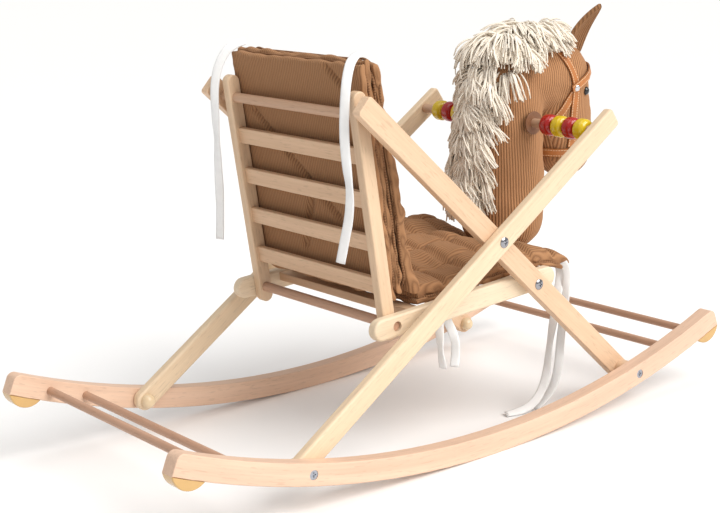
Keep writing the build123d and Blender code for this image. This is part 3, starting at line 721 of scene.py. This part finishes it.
def make_head():
    shapes = [
        blob_points((209, 252), (216, 410), 58, 46, 54, 46, "neck_form", 3.0),
        blob_points((236, 420), (300, 414), 49, 51, 46, 45, "skull_form"),
        blob_points(MUZZLE_TOP, MUZZLE_END, 50, 44, 44, 36, "muzzle_form"),
    ]
    joined = bmesh.new()
    for mesh in shapes:
        joined.from_mesh(mesh)
    head = add_piece("stuffed_head", mesh_of(joined, "head"), "tan_corduroy", "horse_head")
    remesh = head.modifiers.new("join", "REMESH")
    remesh.mode = "VOXEL"
    remesh.voxel_size = 0.0035
    smooth = head.modifiers.new("soften", "SMOOTH")
    smooth.factor = 0.6
    smooth.iterations = 9
    settle(head)
    for vertex in head.data.vertices:
        place_at = vertex.co * 38
        vertex.co += vertex.normal * (0.0016 * noise.noise(place_at)
                                      + 0.0008 * noise.noise(place_at * 2.3))
    neck = place(NECK_CENTRE, 0, 300)

    def near_turn(angle, reference):
        return angle + 2 * math.pi * round((reference - angle) / (2 * math.pi))

    def ribs(face, corner):
        """Ribs run down the head: round the neck's back, straight on the flanks and front."""
        middle = face.center
        if middle.x < neck.x:
            reference = math.atan2(-middle.y, neck.x - middle.x)
            angle = near_turn(math.atan2(-corner.y, neck.x - corner.x), reference)
            return (angle * NECK_RADIUS, corner.z)
        if abs(face.normal.y) > 0.55:
            ahead = math.pi / 2 * NECK_RADIUS + corner.x - neck.x
            return (-ahead if middle.y > 0 else ahead, corner.z)
        return (corner.y, corner.z)

    set_uv(head.data, ribs)
    # dark is the painted shade at the bottom of the rib grooves.
    head.data.materials.append(corduroy("head_cloth", 0.0038, pale=(0.52, 0.255, 0.12),
                                        dark=(0.12, 0.052, 0.023), wavy=0.25, seams=True))
    return head


def make_ears():
    """Two cupped leaf-shaped ears in the places of their CAD solids."""
    cloth = corduroy("ear_cloth", 0.0028)
    root_x, root_z, spread = 314.0, 452.0, 27.0
    rows, columns = 26, 16
    body = bmesh.new()
    for side, lean_angle in EAR_LEANS:
        lean = math.radians(lean_angle)
        up = Vector((0.12, side * math.sin(lean), math.cos(lean))).normalized()
        out = Vector((1, 0, 0)).cross(up).normalized()
        ahead = up.cross(out).normalized()
        grid = []
        for i in range(rows + 1):
            t = i / rows
            half = EAR_WIDTH / 2 * (1 - t ** 1.35) ** 0.8 * (0.9 + 0.25 * t) + 1.2 * (1 - t ** 8)
            row = []
            for j in range(columns + 1):
                w = 2 * j / columns - 1
                cup = 7.0 * (1 - abs(w) ** 1.6) * (1 - t) + 5.0 * math.sin(math.pi * t)
                spot = (Vector((root_x, side * spread, root_z)) + up * (EAR_LENGTH * t - 6)
                        + ahead * (w * half) + out * cup * side)
                row.append(body.verts.new(place(*spot)))
            grid.append(row)
        for i in range(rows):
            for j in range(columns):
                body.faces.new((grid[i][j], grid[i][j + 1], grid[i + 1][j + 1],
                                grid[i + 1][j]))
    bmesh.ops.recalc_face_normals(body, faces=body.faces)
    ears = add_piece("stuffed_ears", mesh_of(body, "ears"), "tan_corduroy", "ears")
    thick = ears.modifiers.new("padding", "SOLIDIFY")
    thick.thickness = 0.006
    thick.offset = 0.0
    subdivide = ears.modifiers.new("round", "SUBSURF")
    subdivide.levels = subdivide.render_levels = 1
    settle(ears)
    set_uv(ears.data, lambda face, corner: (corner.x, corner.z))
    ears.data.materials.clear()
    ears.data.materials.append(cloth)


CREST = [(284, 470), (258, 471), (228, 460), (192, 426), (166, 380), (158, 320), (157, 272)]
STRAND_RADIUS = 0.00105
LOCK_LENGTH = 0.031
MANE_STATIONS = 12
OUTER_ROW = 15
STRANDS_PER_LOCK = 13


def crest_at(share):
    """The bench point at a share of the crest's length, and the way out from the head."""
    lengths = [math.dist(a, b) for a, b in zip(CREST, CREST[1:])]
    left = share * sum(lengths)
    for (a, b), length in zip(zip(CREST, CREST[1:]), lengths):
        if left <= length or (a, b) == (CREST[-2], CREST[-1]):
            t = min(left / length, 1)
            along = Vector((b[0] - a[0], 0, b[1] - a[1])).normalized()
            outward = Vector((along.z, 0, -along.x))
            return Vector((a[0] + (b[0] - a[0]) * t, 0, a[1] + (b[1] - a[1]) * t)), outward
        left -= length


def add_strand(curve, knots, thickness):
    line = curve.splines.new("BEZIER")
    line.bezier_points.add(len(knots) - 1)
    taper = (0.8, 1.1, 1.15, 0.75)
    for knot, point, radius in zip(line.bezier_points, knots, taper):
        knot.co = point
        knot.handle_left_type = knot.handle_right_type = "AUTO"
        knot.radius = radius * thickness


def make_mane(head_tree):
    """Locks of cut cotton fringe, each lying over the one below it. A row is its side, its
    distance from the crest, its number of locks and how far they stand out."""
    chance = random.Random(7)
    curve = bpy.data.curves.new("mane", "CURVE")
    curve.dimensions = "3D"
    curve.bevel_depth = STRAND_RADIUS
    curve.bevel_resolution = 1
    curve.resolution_u = 3
    rows = ((0, 0, 6, 10.0), (-1, 6, 6, 9.5), (1, 6, 6, 9.5), (-1, OUTER_ROW, 5, 7.5),
            (1, OUTER_ROW, 5, 7.5))
    for station in range(MANE_STATIONS):
        for side, offset, locks, lift in rows:
            half_step = 0.5 if offset == OUTER_ROW else 0.0
            share = (station + 0.25 + half_step) / MANE_STATIONS
            for _ in range(locks):
                middle = min(max(share + chance.gauss(0, 0.03), 0), 1)
                spread = chance.gauss(0, 4.5)
                lean = chance.gauss(0, 0.32)
                lock_length = LOCK_LENGTH * chance.uniform(0.8, 1.2)
                lock_rise = lift * chance.uniform(0.6, 1.7) / 1000
                for _ in range(STRANDS_PER_LOCK):
                    spot, outward = crest_at(min(max(middle + chance.gauss(0, 0.006), 0), 1))
                    guess = spot - outward * (offset * 0.4) \
                        + Vector((0, side * offset + spread + chance.gauss(0, 1.8), 0))
                    root, normal, _, _ = head_tree.find_nearest(place(*guess))
                    aim = -outward * 0.1 + Vector((0, side * 0.08, -0.9)) if side else \
                        outward * 0.5 + Vector((0, chance.uniform(-0.5, 0.5), -0.75))
                    aim = turn(*aim).normalized()
                    aim = (aim - normal * aim.dot(normal) * (1.0 if side else 0.4)).normalized()
                    aim = Matrix.Rotation(chance.gauss(lean, 0.09), 3, normal) @ aim
                    length = lock_length * chance.uniform(0.93, 1.05)
                    rise = lock_rise + abs(chance.gauss(0, 0.0016))
                    knots = [root - normal * 0.001]
                    for reach, height in ((0.28, 1.1), (0.66, 1.4), (1.0, 1.45)):
                        free = root + aim * length * reach + Vector((0, 0, -0.004 * reach ** 2))
                        near, out, _, _ = head_tree.find_nearest(free)
                        jitter = Vector([chance.gauss(0, 0.0009) for _ in range(3)])
                        if (free - near).dot(out) > rise * height:
                            knots.append(free + jitter)
                        else:
                            knots.append(near + out * rise * height + jitter)
                    add_strand(curve, knots, chance.uniform(0.8, 1.25))
    curve.materials.append(yarn_material())
    add_piece("yarn_mane", curve, "cream_yarn", "mane")


# ---------------------------------------------------------------- bridle and eyes
STRAP_WIDTH, STRAP_THICKNESS = 0.0112, 0.0019
CHEEK_ROUTE = [(258, 470), (270, 457), (283, 440), (294, 421), (300, 402), (302, 370),
               (303, 345), (303, 322)]
THROAT_ROUTE = [(299, 398), (293, 386), (285, 370), (276, 354), (268, 344)]


def strap_mesh(points, normals, width, thickness):
    """A flat strap along points, held against normals, with U along it and V across."""
    body = bmesh.new()
    uv = body.loops.layers.uv.new("UVMap")
    rings, travel = [], 0.0
    steps = []
    for index, (point, normal) in enumerate(zip(points, normals)):
        before = points[max(index - 1, 0)]
        after = points[min(index + 1, len(points) - 1)]
        along = (after - before).normalized()
        across = along.cross(normal).normalized()
        if index:
            travel += (point - points[index - 1]).length
        steps.append(travel)
        rings.append([body.verts.new(point + across * width * w + normal * thickness * t)
                      for w, t in ((-0.5, 0.0), (-0.47, 1.0), (0.47, 1.0), (0.5, 0.0))])
    skin_rings(body, uv, rings, steps, (0.0, 0.04, 0.96, 1.0))
    return body


def merge_bodies(name, bodies):
    joined = bmesh.new()
    joined.loops.layers.uv.new("UVMap")
    for body in bodies:
        joined.from_mesh(mesh_of(body, "strap"))
    return mesh_of(joined, name)


def smooth_route(stops, count=40):
    """Points along a Catmull-Rom curve through the stops."""
    ends = [stops[0] * 2 - stops[1]] + list(stops) + [stops[-1] * 2 - stops[-2]]
    points = []
    for k in range(count + 1):
        t = k / count * (len(stops) - 1)
        i = min(int(t), len(stops) - 2)
        t -= i
        a, b, c, d = ends[i:i + 4]
        points.append(0.5 * (2 * b + (c - a) * t + (2 * a - 5 * b + 4 * c - d) * t * t
                             + (3 * b - a - 3 * c + d) * t ** 3))
    return points


def cast_side(head_tree, x, z, side):
    hit = head_tree.ray_cast(place(x, side * 90, z), Vector((0, -side, 0)))
    return (hit[0], hit[1]) if hit[0] else (place(x, side * 40, z), Vector((0, side, 0)))


def cast_round(head_tree, x, z, ux, uz, angle, distance):
    """Hit the head from outside at an angle about the line through (x, z) along (ux, uz)."""
    away = Vector((-uz * math.cos(angle), math.sin(angle), ux * math.cos(angle)))
    start = Vector((x, 0, z)) + away * distance
    hit = head_tree.ray_cast(place(*start), turn(*(-away)))
    return (hit[0], hit[1]) if hit[0] else (place(*(Vector((x, 0, z)) + away * 45)), turn(*away))


def make_bridle(head_tree):
    leather_strap = leather("bridle_leather", (0.56, 0.20, 0.05), stitched=True)

    def lay(pairs, lift=0.0008):
        points = [p + n * lift for p, n in pairs]
        smoothed = smooth_route(points, len(points) * 3)
        normals = smooth_route([n for _, n in pairs], len(pairs) * 3)
        return strap_mesh(smoothed, [n.normalized() for n in normals], STRAP_WIDTH,
                          STRAP_THICKNESS)

    cheeks = []
    for side in (-1, 1):
        cheeks.append(lay([cast_side(head_tree, x, z, side) for x, z in CHEEK_ROUTE]))
        cheeks.append(lay([cast_side(head_tree, x, z, side) for x, z in THROAT_ROUTE], 0.0004))
    mesh = merge_bodies("cheek_straps", cheeks)
    mesh.materials.append(leather_strap)
    add_piece("cheek_straps", mesh, "tan_leather", "bridle_cheek_straps")
    for name, centre, axis in (("noseband", (322, 315), (0.0, 1.0)),
                               ("browband", (308, 408), (-0.42, 0.907))):
        half_turn, distance = (math.pi, 56) if name == "noseband" else (0.62 * math.pi, 120)
        count = 40
        pairs = []
        for k in range(count + 1):
            angle = -half_turn + 2 * half_turn * k / count
            pairs.append(cast_round(head_tree, *centre, *axis, angle + math.pi, distance))
        mesh = merge_bodies(name, [lay(pairs, 0.0022)])
        mesh.materials.append(leather_strap)
        add_piece(name, mesh, "tan_leather", f"bridle_{name}")
    studs = button_mesh("rivets", head_tree, RIVET_SPOTS, 0.0032, 0.0046, 0.0022)
    studs.materials.append(metal("rivet_silver", (0.75, 0.75, 0.76), 0.2))
    add_piece("bridle_studs", studs, "silver_rivet", "bridle_rivets")
    eyes = button_mesh("eyes", head_tree, (EYE_SPOT,), -0.0006, 0.0059, 0.0052)
    eyes.materials.append(lacquer("eye_black", (0.006, 0.006, 0.007)))
    add_piece("button_eyes", eyes, "black_gloss", "eyes")


def button_mesh(name, head_tree, spots, lift, radius, height):
    """Buttons on both sides of the head, standing lift off it at side-view spots."""
    body = bmesh.new()
    for side in (-1, 1):
        for x, z in spots:
            point, normal = cast_side(head_tree, x, z, side)
            button(body, point + normal * lift, normal, radius, height)
    mesh = mesh_of(body, name)
    shade_smooth(mesh)
    return mesh


def button(body, point, normal, radius, height):
    """A domed round button standing on a point."""
    rotation = normal.to_track_quat("Z", "Y").to_matrix().to_4x4()
    around, rings = 28, 7
    rows = []
    for i in range(rings):
        rise = math.sin(math.pi / 2 * i / (rings - 1))
        spread = max(math.cos(math.pi / 2 * i / (rings - 1)), 0.02)
        rows.append([body.verts.new(point + rotation @ Vector((
            radius * spread * math.cos(2 * math.pi * k / around),
            radius * spread * math.sin(2 * math.pi * k / around), height * rise)))
            for k in range(around)])
    for below, above in zip(rows, rows[1:]):
        for k in range(around):
            m = (k + 1) % around
            body.faces.new((below[k], below[m], above[m], above[k]))
    body.faces.new(reversed(rows[0]))
    body.faces.new(rows[-1])


# ---------------------------------------------------------------- tie tapes
TAPE_WIDTH = 0.011
TAPE_THICKNESS = 0.0009
TAPE_FLAT = Vector((0.779, -0.627, 0.0))  # the way across a tape that has no twist
TAPES = {
    "tie_back_right": ([
        (-117, -110, 481), (-132, -114, 478), (-144, -119, 458), (-150, -122, 430),
        (-151, -121, 395), (-150, -123, 362), (-150, -129, 332), (-150, -127, 302),
        (-149, -116, 272), (-148, -107, 246),
    ], (0, 0, 10, 15, 10, 20, 45, 30, 20, 15)),
    "tie_back_left": ([
        (-117, 113, 481), (-132, 121, 478), (-145, 129, 458), (-151, 133, 430),
        (-151, 133, 395), (-149, 134, 360), (-148, 135, 325), (-147, 135, 290),
        (-147, 136, 262), (-148, 137, 235),
    ], (0, 0, 10, 15, 30, 50, 30, 10, 25, 20)),
    "tie_seat_rear": ([
        (-15, -126.5, 172), (-17, -127, 158), (-20, -132, 140), (-21, -134, 121),
        (-16, -133, 101),
    ], (20, 20, 35, 60, 40)),
    "tie_seat_front": ([
        (-8, -126.5, 172), (-5, -127, 158), (1, -132, 142), (5, -134, 122), (2, -133, 99),
    ], (15, 15, 5, 25, 10)),
    "tie_front_outer": ([
        (196, -124, 196), (205, -124, 186), (203, -124, 160), (198, -125, 128),
        (193, -125, 96), (191, -125, 68), (187, -124, 43), (176, -121, 21),
        (158, -116, 6.2),
    ], (0, 10, 25, 40, 30, 10, 20, 40, 60)),
    "tie_front_inner": ([
        (196, -114, 196), (204, -114, 185), (196, -117, 158), (186, -120, 126),
        (178, -121, 95), (175, -121, 66), (171, -120, 42), (160, -117, 19),
        (142, -110, 6.6), (120, -101, 4.8),
    ], (0, 0, 15, 30, 55, 40, 15, 0, 0, 0)),
}


def spline_points(name, route):
    """Points of the smooth line that has the route's points as its control points."""
    curve = bpy.data.curves.new(name + "_line", "CURVE")
    curve.dimensions = "3D"
    curve.resolution_u = 10
    line = curve.splines.new("NURBS")
    line.points.add(len(route) - 1)
    for point, spot in zip(line.points, route):
        point.co = (*place(*spot), 1)
    line.order_u = 3
    line.use_endpoint_u = True
    holder = bpy.data.objects.new(name + "_line", curve)
    bpy.context.collection.objects.link(holder)
    mesh = bpy.data.meshes.new_from_object(holder)
    points = [v.co.copy() for v in mesh.vertices]
    bpy.data.objects.remove(holder)
    bpy.data.curves.remove(curve)
    return points


def make_tapes():
    cloth = tape_material()
    for name, (route, twists) in TAPES.items():
        points = spline_points(name, route)
        body = bmesh.new()
        uv = body.loops.layers.uv.new("UVMap")
        rings, steps, travel, columns = [], [], 0.0, 7
        for index, point in enumerate(points):
            share = index / (len(points) - 1) * (len(twists) - 1)
            whole = min(int(share), len(twists) - 2)
            part = share - whole
            part = part * part * (3 - 2 * part)
            twist = math.radians(twists[whole] * (1 - part) + twists[whole + 1] * part)
            along = (points[min(index + 1, len(points) - 1)]
                     - points[max(index - 1, 0)]).normalized()
            across = (TAPE_FLAT - along * TAPE_FLAT.dot(along)).normalized()
            across = (Matrix.Rotation(twist, 3, along) @ across).normalized()
            out = along.cross(across).normalized()
            if index:
                travel += (point - points[index - 1]).length
            steps.append(travel)
            ring = []
            for layer in (1, -1):
                for k in range(columns):
                    w = (k / (columns - 1) - 0.5) * layer
                    curl = 0.0007 * (1 - 4 * w * w)
                    ring.append(body.verts.new(point + across * TAPE_WIDTH * w
                                               + out * (curl + layer * TAPE_THICKNESS / 2)))
            rings.append(ring)
        shares = [k / (columns - 1) for k in range(columns)]
        skin_rings(body, uv, rings, steps, shares + [1 - share for share in shares])
        mesh = mesh_of(body, name)
        shade_smooth(mesh)
        mesh.materials.append(cloth)
        piece = add_piece(f"{name}_tape", mesh, "white_tape", name)


make_camera()
make_stage()
paint_nodes()
make_tapes()
make_cushions()
head_piece = make_head()
head_mesh = head_piece.data
head_surface = BVHTree.FromPolygons([v.co for v in head_mesh.vertices],
                                    [p.vertices for p in head_mesh.polygons])
make_ears()
make_mane(head_surface)
make_bridle(head_surface)
